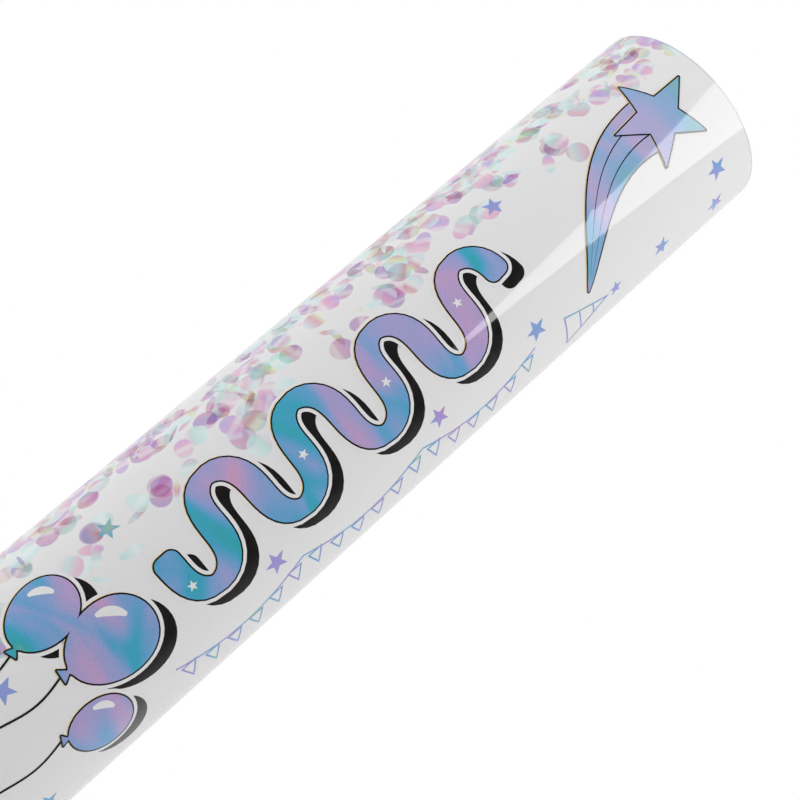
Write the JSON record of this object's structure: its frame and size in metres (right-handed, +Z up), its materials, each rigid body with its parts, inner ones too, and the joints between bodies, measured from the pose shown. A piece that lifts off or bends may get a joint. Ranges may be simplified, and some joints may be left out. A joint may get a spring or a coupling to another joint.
{
  "type": "confetti popper",
  "caption": "Twist-action confetti popper: a glossy printed card barrel on a twist handle with an air bottle, a release plug lifted by a helical cam, a wad, foil discs and a foam muzzle disc.",
  "frame": {"origin": "centre of the base, on the surface that the popper stands on", "axes": "+Z up along the barrel's axis to the muzzle; +X along the cross pin; -Y is the front of the print"},
  "size_m": [0.05, 0.05, 0.4],
  "materials": {
    "card": "spiral-wound grey paperboard, matt",
    "printed_film": "printed paper under glossy clear film",
    "white_moulding": "moulded white polypropylene, fine satin",
    "acetal": "moulded natural acetal, smooth",
    "bottle_aluminium": "drawn aluminium, satin",
    "spring_steel": "oiled spring steel",
    "seal_rubber": "moulded black nitrile rubber",
    "white_foam": "closed-cell foam, die cut, matt",
    "iridescent_foil": "iridescent pastel foil discs"
  },
  "bodies": {
    "barrel": {"barrel_tube": "card", "barrel_wrap": "printed_film", "breech_collar": "white_moulding", "diffuser_plate": "white_moulding"},
    "handle": {"handle_tube": "card", "handle_wrap": "printed_film", "base_cap": "white_moulding", "bottle_pad": "white_foam", "air_bottle": "bottle_aluminium", "fill_plug": "seal_rubber", "neck_gasket": "seal_rubber", "valve_seat": "acetal", "crimp_ferrule": "bottle_aluminium", "handle_collar": "white_moulding", "cam_sleeve": "acetal", "thrust_washer": "acetal", "retaining_clip": "spring_steel"},
    "plug": {"release_plug": "acetal", "plug_o_ring": "seal_rubber", "cross_pin": "spring_steel"},
    "wad": {"gas_wad": "white_foam", "wad_card": "card"},
    "charge": {"confetti_discs": "iridescent_foil"},
    "muzzle_disc": {"closing_disc": "white_foam"}
  },
  "joints": [
    {"name": "handle_twist", "type": "hinge", "parent": "barrel", "child": "handle", "pos_m": [0, 0, 0.108], "axis": [0, 0, 1], "range_deg": [0, 120]},
    {"name": "plug_lift", "type": "slide", "parent": "barrel", "child": "plug", "axis": [0, 0, 1], "range_m": [0, 0.00601]},
    {"name": "charge_shot", "type": "slide", "parent": "barrel", "child": "charge", "axis": [0, 0, 1], "range_m": [0, 0.3]},
    {"name": "wad_shot", "type": "slide", "parent": "barrel", "child": "wad", "axis": [0, 0, 1], "range_m": [0, 0.28001]},
    {"name": "closing_shot", "type": "slide", "parent": "barrel", "child": "muzzle_disc", "axis": [0, 0, 1], "range_m": [0, 0.15001]}
  ],
  "couplings": [
    {"joint": "plug_lift", "follows": "handle_twist", "m_per_rad": 0.0028648},
    {"joint": "wad_shot", "follows": "charge_shot", "ratio": 0.93333},
    {"joint": "closing_shot", "follows": "charge_shot", "ratio": 0.5}
  ]
}
